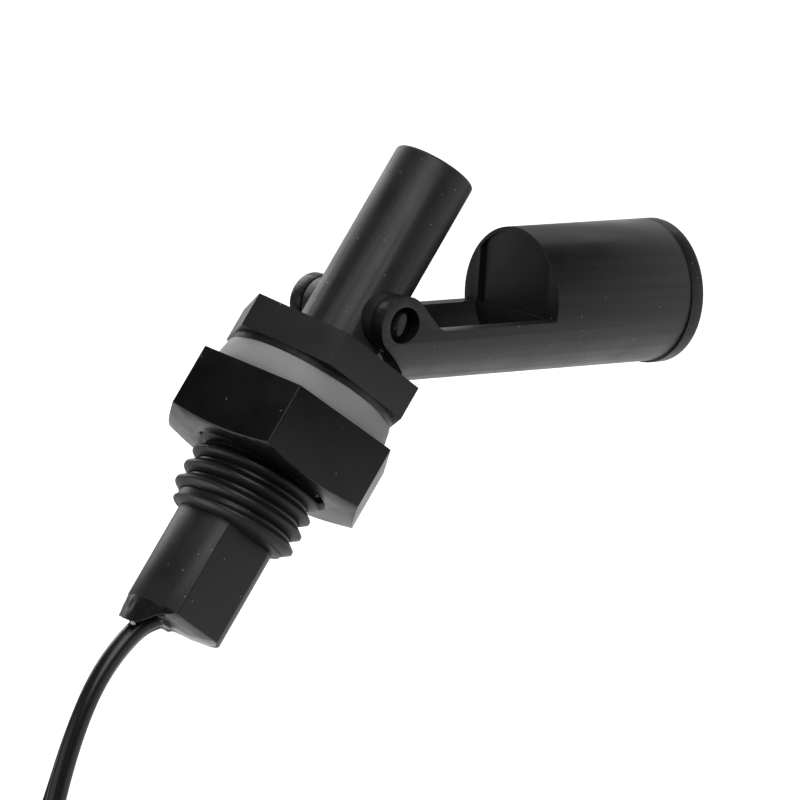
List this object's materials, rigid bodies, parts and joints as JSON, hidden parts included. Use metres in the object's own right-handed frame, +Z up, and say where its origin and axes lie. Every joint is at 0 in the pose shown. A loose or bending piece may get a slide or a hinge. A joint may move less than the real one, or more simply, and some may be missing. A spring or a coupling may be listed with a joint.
{
  "type": "float level switch",
  "caption": "Side-mounted black plastic float level switch: reed tube with a hinged float arm, hex head and lock nut on an M16 thread, grey gasket and two bare-ended leads.",
  "frame": {"origin": "centre of the sealing face, the underside of the collar under the hexagon head, on the sensor tube's axis", "axes": "+X along the sensor tube into the tank, Y along the float's hinge, +Z up; the float hangs below"},
  "size_m": [0.1124, 0.0266, 0.0707],
  "materials": {
    "black_nylon": "matt black moulded nylon with a fine grain",
    "grey_silicone": "matt grey silicone",
    "wire_pvc": "semi-gloss black PVC insulation",
    "resin": "cured black potting resin",
    "ferrite": "sintered magnet",
    "glass": "clear sealed glass",
    "reed_metal": "nickel-iron reed",
    "solder": "soldered joint",
    "tinned_copper": "tinned copper strands",
    "shrink_sleeve": "black heat-shrink sleeve",
    "tie_nylon": "plain black nylon tie"
  },
  "bodies": {
    "sensor": {"sensor_body": "black_nylon", "lock_nut": "black_nylon", "sealing_gasket": "grey_silicone", "reed_glass": "glass", "reed_cushion": "grey_silicone", "reed_blade_near": "reed_metal", "reed_blade_far": "reed_metal", "splice_near": "solder", "splice_far": "solder", "splice_sleeve_near": "shrink_sleeve", "splice_sleeve_far": "shrink_sleeve", "inner_lead_near": "wire_pvc", "inner_lead_far": "wire_pvc", "lead_near": "wire_pvc", "lead_far": "wire_pvc", "lead_coil": "wire_pvc", "potting_plug": "resin", "coil_tie": "tie_nylon", "wire_tip_near": "tinned_copper", "wire_tip_far": "tinned_copper"},
    "float": {"float_arm": "black_nylon", "float_end_cap": "black_nylon", "arm_magnet": "ferrite"}
  },
  "joints": [
    {"name": "float_pivot", "type": "hinge", "parent": "sensor", "child": "float", "pos_m": [0.0102, 0, -0.0009], "axis": [0, -1, 0], "range_deg": [0, 55.9]}
  ]
}
